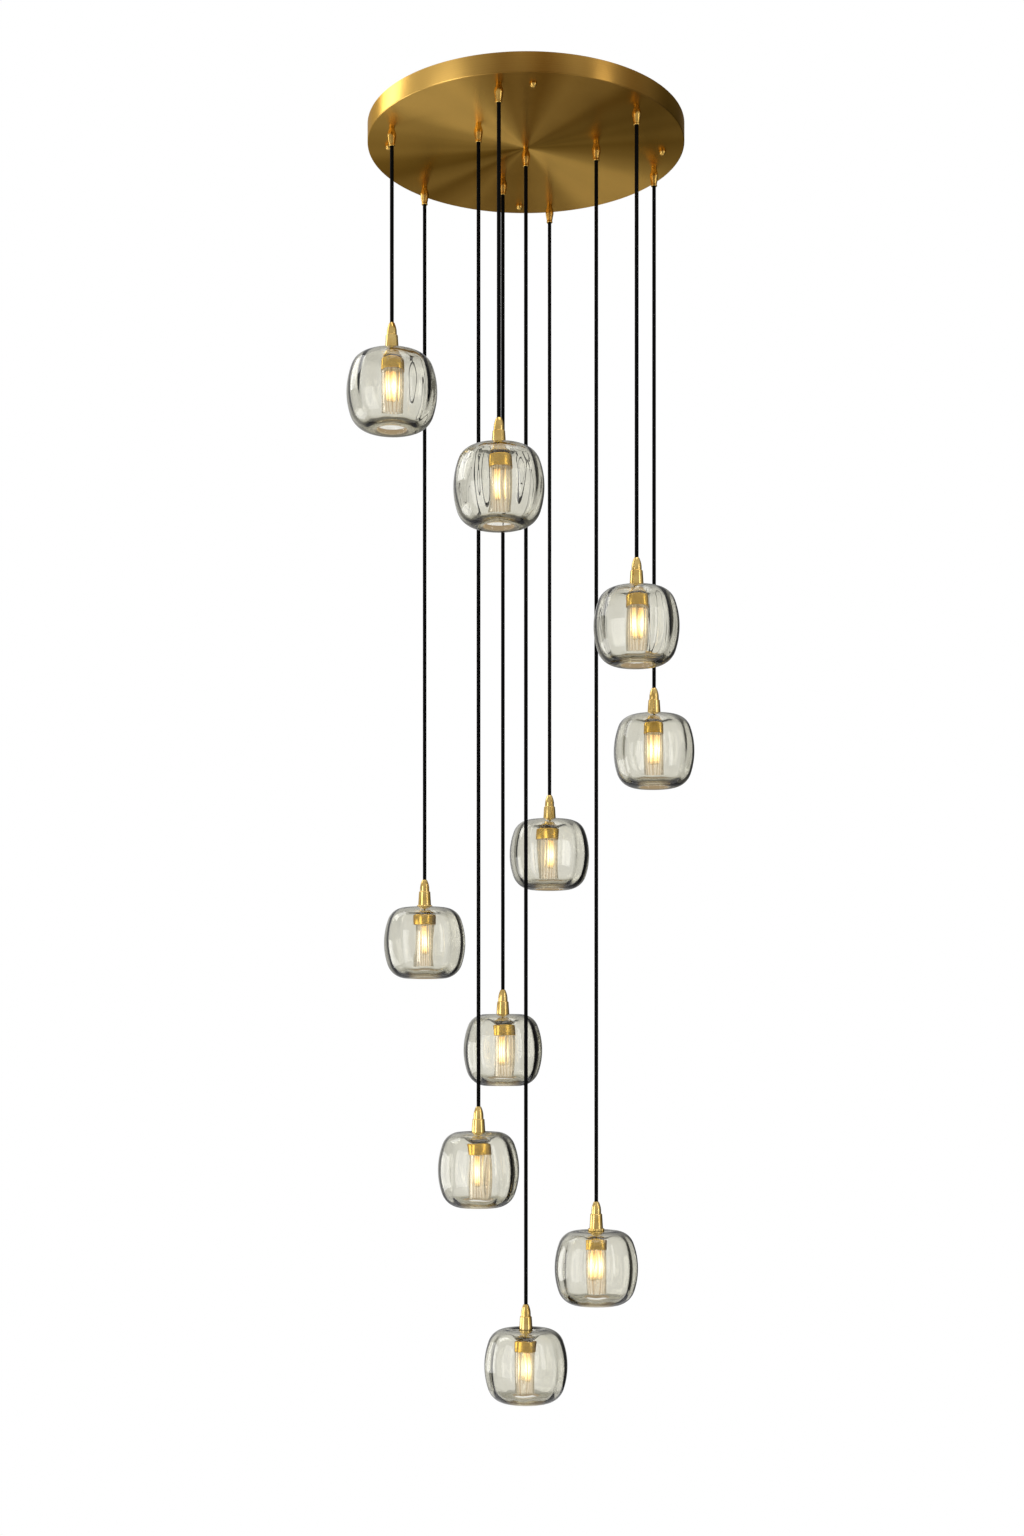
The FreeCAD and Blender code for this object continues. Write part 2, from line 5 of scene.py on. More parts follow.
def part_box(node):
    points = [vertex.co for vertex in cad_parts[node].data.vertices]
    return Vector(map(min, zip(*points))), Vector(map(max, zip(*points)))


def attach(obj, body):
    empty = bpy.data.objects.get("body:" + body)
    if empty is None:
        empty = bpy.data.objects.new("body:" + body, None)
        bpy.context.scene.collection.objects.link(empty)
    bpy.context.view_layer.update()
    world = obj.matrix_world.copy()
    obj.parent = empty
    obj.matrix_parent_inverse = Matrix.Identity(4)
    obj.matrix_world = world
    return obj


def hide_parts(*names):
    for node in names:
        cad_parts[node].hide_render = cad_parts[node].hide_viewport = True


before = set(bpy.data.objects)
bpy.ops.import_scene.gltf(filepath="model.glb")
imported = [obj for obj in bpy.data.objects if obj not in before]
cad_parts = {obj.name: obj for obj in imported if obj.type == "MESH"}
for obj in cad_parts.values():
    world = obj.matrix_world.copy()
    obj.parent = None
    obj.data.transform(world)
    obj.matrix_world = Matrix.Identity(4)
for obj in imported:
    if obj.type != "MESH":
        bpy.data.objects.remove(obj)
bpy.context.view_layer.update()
mm = 0.001
lampCount = 10
print("frame loaded")

# ---- camera: level and straight on, with the horizon low in the picture
camera = {"place": (-0.022, -3.222, -1.468), "lens": 47.72, "shiftUp": 0.188, "farthest": 60}
cameraData = bpy.data.cameras.new("camera")
cameraData.lens = camera["lens"]
cameraData.shift_y = camera["shiftUp"]
cameraData.clip_end = camera["farthest"]
viewer = bpy.data.objects.new("camera", cameraData)
viewer.location = camera["place"]
viewer.rotation_euler = (math.radians(90), 0, 0)
bpy.context.scene.collection.objects.link(viewer)
bpy.context.scene.camera = viewer


# ---- cords: each hangs straight from its grip to its stem cap, and its two ends are rounded
cord = {"radius": 3, "order": 3, "roundness": 5,
        "ends": ((0, 0.3), (0.6, 0.97), (3, 1))}    # mm from an end, share of the radius


def hangCord(n):
    low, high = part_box(f"cord_{n}")
    x, y = (low.x + high.x) / 2, (low.y + high.y) / 2
    curve = bpy.data.curves.new(f"cordLine_{n}", "CURVE")
    curve.dimensions = "3D"
    line = curve.splines.new("NURBS")
    levels = [(high.z - down * mm, share) for down, share in cord["ends"]]
    levels.append(((low.z + high.z) / 2, 1))
    levels += [(low.z + up * mm, share) for up, share in reversed(cord["ends"])]
    line.points.add(len(levels) - 1)
    for point, (level, share) in zip(line.points, levels):
        point.co = (x, y, level, 1)
        point.radius = share * cord["radius"] * mm
    line.order_u = cord["order"]
    line.use_endpoint_u = True
    curve.bevel_depth = 1                           # times each point's radius
    curve.bevel_resolution = cord["roundness"]
    curve.use_fill_caps = True
    piece = bpy.data.objects.new(f"hangingCord_{n}", curve)
    bpy.context.scene.collection.objects.link(piece)
    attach(piece, f"hanging_cord_{n}")
    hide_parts(f"cord_{n}")
    return piece


cords = [hangCord(n) for n in range(1, lampCount + 1)]
print("cords hung")


# ---- shader sums and nodes
class Value:
    def __init__(self, maker, link):
        self.maker, self.link = maker, link

    def sum(self, operation, other):
        return self.maker.node("ShaderNodeMath", {0: self, 1: other}, operation=operation)

    def __add__(self, other):
        return self.sum("ADD", other)

    def __sub__(self, other):
        return self.sum("SUBTRACT", other)

    def __mul__(self, other):
        return self.sum("MULTIPLY", other)

    def __truediv__(self, other):
        return self.sum("DIVIDE", other)

    def __pow__(self, other):
        return self.sum("POWER", other)


class NodeMaker:
    def __init__(self, tree):
        self.tree = tree
        tree.nodes.clear()

    def node(self, kind, sockets={}, output=0, stops=(), **settings):
        made = self.tree.nodes.new(kind)
        for name, setting in settings.items():
            setattr(made, name, setting)
        for i, (place, shade) in enumerate(stops):
            ramp = made.color_ramp.elements
            stop = ramp[i] if i < 2 else ramp.new(place)
            stop.position, stop.color = place, (*shade, 1)
        for name, given in sockets.items():
            socket = made.inputs[name]
            if isinstance(given, Value):
                self.tree.links.new(given.link, socket)
            elif isinstance(given, tuple) and socket.type == "RGBA":
                socket.default_value = (*given, 1)
            else:
                socket.default_value = given
        return Value(self, made.outputs[output]) if len(made.outputs) else None

    def blend(self, share, first, second):
        return self.node("ShaderNodeMix", {0: share, 6: first, 7: second}, 2, data_type="RGBA")

    def place(self):
        return self.node("ShaderNodeTexCoord", output="Object")

    def clouds(self, size, vector=None, detail=3):
        sockets = {"Vector": vector or self.place(), "Scale": size, "Detail": detail}
        return self.node("ShaderNodeTexNoise", sockets)

    def lines(self, along):
        sockets = {"W": along, "Scale": 1.0, "Detail": 2.0}
        return self.node("ShaderNodeTexNoise", sockets, noise_dimensions="1D")

    def parts(self, vector):
        return [self.node("ShaderNodeSeparateXYZ", {0: vector}, i) for i in range(3)]

    def stretch(self, value, start, end, first, last):
        return self.node("ShaderNodeMapRange", {"Value": value, "From Min": start, "From Max": end,
                                                "To Min": first, "To Max": last})

    def bump(self, height, strength, distance):
        return self.node("ShaderNodeBump", {"Height": height, "Strength": strength,
                                            "Distance": distance})

    def attribute(self, name):
        return self.node("ShaderNodeAttribute", output="Fac", attribute_name=name)

    def ray(self, output):
        return self.node("ShaderNodeLightPath", output=output)

    def surface(self, sockets):
        return self.node("ShaderNodeBsdfPrincipled", sockets)

    def finish(self, surface, volume=None):
        sockets = {"Surface": surface}
        if volume:
            sockets["Volume"] = volume
        self.node("ShaderNodeOutputMaterial", sockets)


def newFinish(name):
    material = bpy.data.materials.new(name)
    material.use_nodes = True
    return material, NodeMaker(material.node_tree)


# ---- brass of the pan: aged, brushed round its centre, with painted highlight wedges and streaks
panBrass = {"deep": (0.17, 0.068, 0.006), "pale": (1.0, 0.62, 0.16), "edge": (1.0, 0.80, 0.48),
            "lineCount": 1500, "driftSize": 9, "drift": 4, "ageSize": 5.5, "ageDetail": 5,
            "paintedStreakSize": 2.6, "paintedGleamTurn": 43, "paintedGleamPower": 3, "paintedGleam": 0.74, "paintedStreak": 0.8,
            "age": 0.3, "line": 0.2, "dark": 0.46, "rough": 0.23, "roughLine": 0.10,
            "roughAge": 0.08, "brushing": 0.85, "quarterTurn": 0.25, "bump": 0.06, "depth": 0.0003}


def makePanBrass():
    look = panBrass
    material, make = newFinish("brushed pan brass")
    x, y, z = make.parts(make.place())
    radius = (x * x + y * y + 1e-7) ** 0.5          # never zero, as it divides
    drift = make.clouds(look["driftSize"])
    lines = make.lines((radius + z) * look["lineCount"] + drift * look["drift"])
    age = make.clouds(look["ageSize"], detail=look["ageDetail"])
    turned = math.radians(look["paintedGleamTurn"])        # two painted highlight wedges meet in the middle
    along = (x * math.cos(turned) + y * math.sin(turned)) / radius
    flat = make.node("ShaderNodeCombineXYZ", {0: x / radius, 1: y / radius})
    # painted highlight streaks, which turn round the centre
    paintedStreaks = make.clouds(look["paintedStreakSize"], flat, detail=1)
    paintedGleam = (along * along) ** look["paintedGleamPower"]
    share = (paintedGleam * look["paintedGleam"] + paintedStreaks * look["paintedStreak"] + age * look["age"]
             + lines * look["line"] - look["dark"])
    make.finish(make.surface({
        "Base Color": make.blend(share, look["deep"], look["pale"]),
        "Metallic": 1.0, "Specular Tint": look["edge"],
        "Roughness": lines * look["roughLine"] + age * look["roughAge"] + look["rough"],
        "Anisotropic": look["brushing"], "Anisotropic Rotation": look["quarterTurn"],
        "Normal": make.bump(lines, look["bump"], look["depth"])}))
    return material


# ---- brass of fittings, cups, grips and cap nuts: polished, with faint turning lines
turning = {"wearSize": 60, "wearDetail": 4, "contrast": 1.4, "dark": 0.2, "roughWear": 0.16,
           "roughLine": 0.08, "bumpWear": 0.6, "bump": 0.10, "depth": 0.0002}
fittingBrass = {"deep": (0.62, 0.38, 0.08), "pale": (0.98, 0.73, 0.30), "rough": 0.05,
                "edge": (1.0, 0.86, 0.60), "lineCount": 2600}
cupBrass = {"deep": (0.78, 0.45, 0.055), "pale": (1.0, 0.67, 0.16), "rough": 0.14,
            "edge": (1.0, 0.80, 0.44), "lineCount": 1800}
gripBrass = {"deep": (0.42, 0.22, 0.035), "pale": (0.92, 0.60, 0.17), "rough": 0.12,
             "edge": (1.0, 0.86, 0.60), "lineCount": 2600}


def makeTurnedBrass(name, look):
    material, make = newFinish(name)
    height = make.parts(make.place())[2]
    wear = make.clouds(turning["wearSize"], detail=turning["wearDetail"])
    lines = make.lines(height * look["lineCount"])
    share = wear * turning["contrast"] - turning["dark"]
    ridges = lines + wear * turning["bumpWear"]
    make.finish(make.surface({
        "Base Color": make.blend(share, look["deep"], look["pale"]),
        "Metallic": 1.0, "Specular Tint": look["edge"],
        "Roughness": wear * turning["roughWear"] + lines * turning["roughLine"] + look["rough"],
        "Normal": make.bump(ridges, turning["bump"], turning["depth"])}))
    return material


# ---- zinc plated steel of bracket, studs, screws and grip nuts
zincSteel = {"deep": (0.42, 0.43, 0.45), "pale": (0.66, 0.67, 0.68), "spangleSize": 240.0,
             "hazeSize": 30, "hazeDetail": 4, "spangle": 0.5, "haze": 0.4, "rough": 0.25,
             "roughSpangle": 0.12, "roughHaze": 0.15, "bump": 0.08, "depth": 0.0004}


def makeZinc():
    look = zincSteel
    material, make = newFinish("zinc plated steel")
    cells = {"Vector": make.place(), "Scale": look["spangleSize"]}
    spangle = make.node("ShaderNodeTexVoronoi", cells, output="Color")
    grey = make.node("ShaderNodeSeparateColor", {0: spangle})
    haze = make.clouds(look["hazeSize"], detail=look["hazeDetail"])
    share = grey * look["spangle"] + haze * look["haze"]
    make.finish(make.surface({
        "Base Color": make.blend(share, look["deep"], look["pale"]), "Metallic": 1.0,
        "Roughness": grey * look["roughSpangle"] + haze * look["roughHaze"] + look["rough"],
        "Normal": make.bump(haze, look["bump"], look["depth"])}))
    return material


# ---- dark sheath, ceramic and plastic: a colour, a shadow in its grain, and a gloss
moulding = {"grainDetail": 4, "grain": 0.5, "roughGrain": 0.12, "depth": 0.00005}
cordSheath = {"colour": (0.002, 0.002, 0.002), "shadow": (0.004, 0.0035, 0.0035), "rough": 0.62,
              "size": 300, "gloss": 0.04, "bump": 0.01}
whiteCeramic = {"colour": (0.80, 0.78, 0.74), "shadow": (0.66, 0.63, 0.57), "rough": 0.28,
                "size": 120, "gloss": 0.5, "bump": 0.08}
junctionPlastic = {"colour": (0.78, 0.78, 0.76), "shadow": (0.68, 0.68, 0.65), "rough": 0.42,
                   "size": 150, "gloss": 0.5, "bump": 0.08}


def makeMoulded(name, look):
    material, make = newFinish(name)
    grain = make.clouds(look["size"], detail=moulding["grainDetail"])
    make.finish(make.surface({
        "Base Color": make.blend(grain * moulding["grain"], look["colour"], look["shadow"]),
        "Roughness": grain * moulding["roughGrain"] + look["rough"],
        "Specular IOR Level": look["gloss"],
        "Normal": make.bump(grain, look["bump"], moulding["depth"])}))
    return material


# ---- clear and smoky glass; light that only casts a shadow goes straight through
glass = {"bend": 1.5, "seedSize": 38, "seedDetail": 2, "bump": 0.05, "depth": 0.0015}
gasketRubber = {"tint": (0.92, 0.92, 0.90), "rough": 0.35, "shade": (0.8, 0.8, 0.8)}
# the globe's darker tint is painted shade on its foot, and its glow is a painted glow of the bulb's
# light at its mouth
globeGlass = {"tint": (0.93, 0.925, 0.895), "rough": 0.0, "shade": (0.80, 0.79, 0.72),
              "smoke": (0.53, 0.50, 0.32), "density": 50.0, "paintedShade": (0.50, 0.47, 0.36),
              "glow": ((0, (0, 0, 0)), (1, (0.34, 0.25, 0.14)))}
# the sleeve's darker tint is painted shade down its flute ridges, and its glow is a painted glow of
# the bulb's light
sleeveGlass = {"tint": (0.98, 0.95, 0.91), "rough": 0.02, "shade": (0.94, 0.93, 0.90),
               "paintedShade": (0.66, 0.49, 0.34), "glow": ((0, (0, 0, 0)), (1, (0.075, 0.067, 0.044)))}
litGlass = {"tint": (1.0, 0.95, 0.80), "rough": 0.02, "shade": (0.95, 0.95, 0.93),
            "glow": ((0, (0, 0, 0)), (1, (0.30, 0.275, 0.20)), (0.3, (0.10, 0.075, 0.035)),
                     (0.65, (0.20, 0.17, 0.10)))}


def makeGlass(name, look):
    material, make = newFinish(name)
    seeds = make.clouds(glass["seedSize"], detail=glass["seedDetail"])
    sockets = {"Base Color": look["tint"], "Roughness": look["rough"], "IOR": glass["bend"],
               "Transmission Weight": 1.0,
               "Normal": make.bump(seeds, glass["bump"], glass["depth"])}
    # painted shade: a darker tint where the mesh marks it
    if "paintedShade" in look:
        sockets["Base Color"] = make.blend(make.attribute("paintedShade"), look["tint"], look["paintedShade"])
    # emission where the mesh marks it: the bulb's own light, and a painted glow of it on the sleeve
    # and the globe's mouth
    if "glow" in look:
        sockets["Emission Color"] = make.node("ShaderNodeValToRGB", {0: make.attribute("glow")},
                                              stops=look["glow"])
        sockets["Emission Strength"] = 1.0
    clear = make.node("ShaderNodeBsdfTransparent", {"Color": look["shade"]})
    surface = make.node("ShaderNodeMixShader", {0: make.ray("Is Shadow Ray"),
                                                1: make.surface(sockets), 2: clear})
    volume = None
    if "smoke" in look:
        volume = make.node("ShaderNodeVolumeAbsorption", {"Color": look["smoke"],
                                                          "Density": look["density"]})
    make.finish(surface, volume)
    return material


# ---- lit filaments: white hot in the middle, amber at the ends
litWire = {"colour": (0.9, 0.7, 0.4), "cool": (0.30, 0.16, 0.05), "hot": (1.0, 0.93, 0.68),
           "strength": 3.6, "rough": 0.5}


def makeFilament():
    material, make = newFinish("lit filament")
    share = make.attribute("glow")
    make.finish(make.surface({
        "Base Color": litWire["colour"], "Roughness": litWire["rough"],
        "Emission Color": make.blend(share * share, litWire["cool"], litWire["hot"]),
        "Emission Strength": litWire["strength"]}))
    return material


brushed = makePanBrass()
polished = makeTurnedBrass("polished turned brass", fittingBrass)
darker = makeTurnedBrass("darker turned brass", gripBrass)
golden = makeTurnedBrass("golden spun cup", cupBrass)
zinc = makeZinc()
sheath = makeMoulded("dark cord sheath", cordSheath)
ceramic = makeMoulded("white lampholder", whiteCeramic)
whitePlastic = makeMoulded("white junction plastic", junctionPlastic)
silicone = makeGlass("clear gasket", gasketRubber)
smoky = makeGlass("smoky blown glass", globeGlass)
fluted = makeGlass("fluted clear glass", sleeveGlass)
bulbGlass = makeGlass("lit bulb glass", litGlass)
filament = makeFilament()
print("finishes made")


# ---- modelling helpers
modelling = {"roundSteps": 4, "weld": 1e-6}         # of a rounded corner; metres between doubles


def ringAngle(vert):
    return math.atan2(vert.co.y, vert.co.x)


def outRadius(vert):
    return math.hypot(vert.co.x, vert.co.y)


def setRadius(vert, radius):
    scale = radius / outRadius(vert)
    vert.co.x *= scale
    vert.co.y *= scale


# The angle from a corner to the nearest of some even steps round the ring
def offStep(vert, pitch):
    return (ringAngle(vert) + pitch / 2) % pitch - pitch / 2


# Round grooves down the outside of a turned solid, in mm
def cutGrooves(verts, centre, radius, pitch):
    for vert in verts:
        angle = offStep(vert, pitch)
        across = centre * math.sin(angle)
        if abs(across) < radius:
            reach = centre * math.cos(angle) - math.sqrt(radius ** 2 - across ** 2)
            if outRadius(vert) > reach * mm:
                setRadius(vert, reach * mm)


# Extra corners up a straight wall, so that a glow can change along it
def column(radius, start, end, count=6):
    return [(radius, start + (end - start) * i / count) for i in range(1, count)]


# A turned solid: corners are radius, height and, where it's rounded, the rounding, in mm
def turn(bm, corners, steps, finish=0):
    old = set(bm.faces)
    verts = [bm.verts.new((c[0] * mm, 0, c[1] * mm)) for c in corners]
    edges = [bm.edges.new(pair) for pair in zip(verts, verts[1:] + verts[:1])]
    for corner, vert in zip(corners, list(verts)):
        if len(corner) > 2:
            made = bmesh.ops.bevel(bm, geom=[vert], offset=corner[2] * mm, affect="VERTICES",
                                   segments=modelling["roundSteps"], profile=0.5, material=-1)
            verts += made["verts"]
            edges += made["edges"]
    verts = [v for v in set(verts) if v.is_valid]
    edges = list({e for v in verts for e in v.link_edges})
    bmesh.ops.spin(bm, geom=verts + edges, cent=(0, 0, 0), axis=(0, 0, 1), angle=2 * math.pi,
                   steps=steps, use_merge=True)
    bmesh.ops.remove_doubles(bm, verts=bm.verts, dist=modelling["weld"])
    made = [f for f in bm.faces if f not in old]
    bmesh.ops.recalc_face_normals(bm, faces=made)
    for face in made:
        face.material_index = finish
    return {v for f in made for v in f.verts}


def makeMesh(name, bm, finishes, sharpAngle=40):
    mesh = bpy.data.meshes.new(name)
    bm.to_mesh(mesh)
    bm.free()
    for finish in finishes:
        mesh.materials.append(finish)
    mesh.shade_smooth()
    mesh.set_sharp_from_angle(angle=math.radians(sharpAngle))
    return mesh


def addPiece(name, mesh, body, slot, *nodes):
    piece = bpy.data.objects.new(name, mesh)
    bpy.context.scene.collection.objects.link(piece)
    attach(piece, body)
    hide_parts(*nodes)


def copiesAt(mesh, places):
    bm = bmesh.new()
    for place in places:
        one = mesh.copy()
        one.transform(Matrix.Translation(place))
        bm.from_mesh(one)
    return bm


lampPlaces = []
for n in range(1, lampCount + 1):
    low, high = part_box(f"fitting_{n}")
    lampPlaces.append(Vector(((low.x + high.x) / 2, (low.y + high.y) / 2, high.z)))

# ---- ceiling pan
pan = {"radius": 250, "depth": 30, "sheet": 1.2, "edge": 1.5, "innerEdge": 0.3, "steps": 256,
       "sharpAngle": 30}


def makePan():
    bm = bmesh.new()
    wall = pan["radius"] - pan["sheet"]
    inside = pan["sheet"] - pan["depth"]
    turn(bm, [(0, -pan["depth"]), (pan["radius"], -pan["depth"], pan["edge"]), (pan["radius"], 0),
              (wall, 0), (wall, inside, pan["innerEdge"]), (0, inside)], pan["steps"])
    mesh = makeMesh("pan", bm, [brushed], pan["sharpAngle"])
    addPiece("brushedPan", mesh, "ceiling_part", "pan_brass", "canopy")


# ---- acorn grips and domed cap nuts under the pan; heights are from the pan's underside
grip = {"corners": [(3.3, -30), (4.5, -30, 0.4), (5.0, -29.2, 0.3), (5.0, -27.9, 0.3),
                    (4.5, -27.2, 0.2), (5.9, -19.5, 4), (6.95, -13.4, 2.6), (6.5, -9.6, 2.4),
                    (4.4, -3.2, 0.8), (4.4, 0), (4.0, 0), (4.0, 8), (3.3, 8)],
        "steps": 48, "sharpAngle": 50}
capNut = {"corners": [(0, -7.55), (2.0, -7.5, 0.9), (4.3, -6.0, 1.6), (5.55, -2.9, 1.0),
                      (5.55, 0), (0, 0)],
          "steps": 40, "sharpAngle": 50, "count": 4, "ring": 217, "turn": 2.5}


def addUnderPan(name, label, look, spots, node):
    bm = bmesh.new()
    turn(bm, look["corners"], look["steps"])
    one = makeMesh(f"one {label}", bm, [darker], look["sharpAngle"])
    bm = copiesAt(one, [(x, y, -pan["depth"] * mm) for x, y in spots])
    mesh = makeMesh(f"{label}s", bm, [darker], look["sharpAngle"])
    addPiece(name, mesh, "ceiling_part", "fitting_brass", node)


def makePanHardware():
    addUnderPan("acornGrips", "grip", grip, [(p.x, p.y) for p in lampPlaces], "canopy_grips")
    ring, step = capNut["ring"] * mm, 360 / capNut["count"]
    angles = [math.radians(capNut["turn"] + step * i) for i in range(capNut["count"])]
    spots = [(ring * math.cos(a), ring * math.sin(a)) for a in angles]
    addUnderPan("domedNuts", "nut", capNut, spots, "cap_nuts")


# ---- brass fitting of a lamp; heights are from the stem cap's mouth
fitting = {"cap": [(3.4, 0), (3.95, 0, 0.3), (5.3, -3, 1.4), (6.34, -6, 1.4), (7.06, -9, 1.4),
                   (7.52, -12, 1.4), (7.7, -16, 1.4), (7.7, -19), (3.4, -19)],
           "body": [(3.4, -19), (8.5, -19, 0.3), (9.3, -19.8, 0.4), (10.7, -42), (5.05, -42),
                    (5.05, -32), (3.4, -32)],
           "cup": [(5.05, -55.6), (18, -55.6, 2), (18, -74.1, 0.5), (16.8, -74.1, 0.5),
                   (16.8, -56.8, 0.8), (5.05, -56.8)],
           "ring": [(5.05, -42), (12.8, -42, 0.9), (12.8, -49, 0.9), (5.05, -49)],
           "nipple": [(3.8, -64.75), (5, -64.75), (5, -32), (3.8, -32)],
           "lockNut": [(5.05, -56.8), (7.4, -56.8, 0.5), (7.4, -59.8, 0.5), (5.05, -59.8)],
           "holder": [(7.1, -73.6), (10, -73.6, 0.4), (10, -59.8, 0.6), (5.05, -59.8),
                      (5.05, -64.8), (0, -64.8), (0, -65.6), (7.1, -65.6)],
           "gasket": [(5.6, -49), (12, -49, 0.2), (12, -49.8, 0.2), (5.6, -49.8)],
           "lowerGasket": [(5.6, -54.8), (12, -54.8, 0.2), (12, -55.6, 0.2), (5.6, -55.6)],
           "turned": (("cap", 48, 0), ("body", 48, 0), ("cup", 72, 3), ("ring", 192, 0),
                      ("nipple", 32, 0), ("lockNut", 6, 0), ("holder", 48, 1), ("gasket", 48, 2),
                      ("lowerGasket", 48, 2)),      # the solid, its steps and its finish
           "notches": 16, "notch": 1.3, "ringRadius": 12.8}


def makeFitting():
    bm = bmesh.new()
    centre = fitting["ringRadius"] + fitting["notch"] / 2
    for name, steps, finish in fitting["turned"]:
        verts = turn(bm, fitting[name], steps, finish)
        if name == "ring":
            cutGrooves(verts, centre, fitting["notch"], 2 * math.pi / fitting["notches"])
    return makeMesh("fitting", bm, [polished, ceramic, silicone, golden])


# ---- fluted sleeve, with painted shade down its flute ridges and a painted glow of the bulb
sleeve = {"radius": 16.5, "wall": 2.2, "top": -62.1, "end": -146.1, "innerLip": 0.7,
          "outerLip": 0.9, "flutes": 20, "fluteSteps": 12, "flute": 3, "depth": 0.6,
          "paintedShade": 0.2, "paintedShadeDark": 0.6, "brightest": -104, "glowReach": 24, "evenGlow": 0.5,
          "sharpAngle": 50}


def makeSleeve():
    bm = bmesh.new()
    radius, top, end = sleeve["radius"], sleeve["top"], sleeve["end"]
    inside = radius - sleeve["wall"]
    shell = turn(bm, [(inside, end, sleeve["innerLip"]), (radius, end, sleeve["outerLip"]),
                      *column(radius, end, top), (radius, top), (inside, top),
                      *column(inside, top, end)], sleeve["flutes"] * sleeve["fluteSteps"])
    pitch = 2 * math.pi / sleeve["flutes"]
    cutGrooves(shell, radius + sleeve["flute"] - sleeve["depth"], sleeve["flute"], pitch)
    glow = bm.verts.layers.float.new("glow")
    paintedShade = bm.verts.layers.float.new("paintedShade")
    even = sleeve["evenGlow"]
    # painted shade darkens the flute ridges; the painted glow of the bulb is even, brightest level
    # with its middle, and dimmer on the shade lines
    for vert in bm.verts:
        fromBulb = (vert.co.z / mm - sleeve["brightest"]) / sleeve["glowReach"]
        fromRidge = pitch / 2 - abs(offStep(vert, pitch))
        vert[paintedShade] = max(0, 1 - fromRidge / (sleeve["paintedShade"] * pitch))
        vert[glow] = even + (1 - even) * math.exp(-fromBulb ** 2)
        vert[glow] *= 1 - sleeve["paintedShadeDark"] * vert[paintedShade]
    return makeMesh("sleeve", bm, [fluted], sleeve["sharpAngle"])


# ---- slim bulb: base, clear envelope, four filaments on a stem
bulb = {"base": [(0, -65.9), (6.8, -65.9, 0.4), (6.8, -73.6), (0, -73.6)],
        "envelope": [(0, -124.1), (8, -124.1, 7.9), *column(8, -116, -74.8), (8, -73.9, 0.8),
                     (5.9, -73.9), (5.9, -74.8), (7.1, -74.8), *column(7.1, -74.8, -116.2),
                     (7.1, -123.2, 7.0), (0, -123.2)],
        "stem": [(0, -76.6), (4.6, -76.6), (4.6, -73.6), (0, -73.6)],
        "stick": [(0, -118.6), (0.9, -118.6, 0.5), *column(0.9, -118.6, -76.6), (0.9, -76.6),
                  (0, -76.6)],
        "baseSteps": 32, "envelopeSteps": 48, "stickSteps": 12, "sticks": 4, "ring": 3,
        "brightest": -101, "glowReach": 17, "sharpAngle": 50}


def makeBulb():
    bm = bmesh.new()
    turn(bm, bulb["base"], bulb["baseSteps"], 1)
    turn(bm, bulb["stem"], bulb["baseSteps"], 1)
    turn(bm, bulb["envelope"], bulb["envelopeSteps"], 0)
    for i in range(bulb["sticks"]):
        stick = turn(bm, bulb["stick"], bulb["stickSteps"], 2)
        angle, ring = 2 * math.pi * i / bulb["sticks"], bulb["ring"] * mm
        shift = (ring * math.cos(angle), ring * math.sin(angle), 0)
        bmesh.ops.translate(bm, verts=list(stick), vec=shift)
    glow = bm.verts.layers.float.new("glow")
    for vert in bm.verts:
        fromMiddle = (vert.co.z / mm - bulb["brightest"]) / bulb["glowReach"]
        vert[glow] = math.exp(-fromMiddle ** 2)
    return makeMesh("bulb", bm, [bulbGlass, ceramic, filament], bulb["sharpAngle"])


# ---- blown globe: an outline of arcs, spun, and then its walls are pushed in and out
globe = {"height": 117, "wall": 5, "base": 8, "sideBend": 110, "shoulderBend": 30, "footBend": 34,
         "mouth": 22, "floor": 14.5, "slope": 9, "hole": 5.6, "seat": 49.8, "steps": 144,
         "outerSteps": (14, 12, 14), "innerSteps": 12, "dimpleRound": 4.5, "lipRound": 2.4,
         "roundSteps": 6, "sharpAngle": 70}
# painted shade and painted glow on the foot, in mm
footPaint = {"slack": 0.1, "glowReach": 3, "fadeIn": 4, "reach": 32, "fadeOut": 14}
blowing = {"ribs": 12, "outerRib": 0.45, "innerRib": 1.3, "outerWave": 0.5, "innerWave": 1.1,
           "keepIn": 0.1, "from": 0.07, "height": 0.86, "fullness": 0.6, "climb": 0.55,
           "lampShift": 3.7, "innerShift": 5, "driftSize": 1.1, "rippleSize": 3.4,
           "rippleClimb": 0.8, "rippleShift": 2.3, "ribTurn": 1.7, "evenRib": 0.55,
           "unevenRib": 0.9, "drift": 0.7, "ripple": 0.5}


def arcOn(bm, vert, centre, angle, steps):
    made = bmesh.ops.spin(bm, geom=[vert], cent=(centre[0] * mm, 0, centre[1] * mm),
                          axis=(0, -1, 0), angle=angle, steps=steps)
    return next(v for v in made["geom_last"] if isinstance(v, bmesh.types.BMVert))


def lineOn(bm, vert, radius, height):
    end = bm.verts.new((radius * mm, 0, height * mm))
    bm.edges.new((vert, end))
    return end


# Where a small bend meets the long bend of the side: its centre's radius, and its turn
def bendMeets(sideAt, sideBend, bend, level, middle):
    reach = math.sqrt((sideBend - bend) ** 2 - (level - middle) ** 2)
    return sideAt + reach, math.atan2(level - middle, reach)


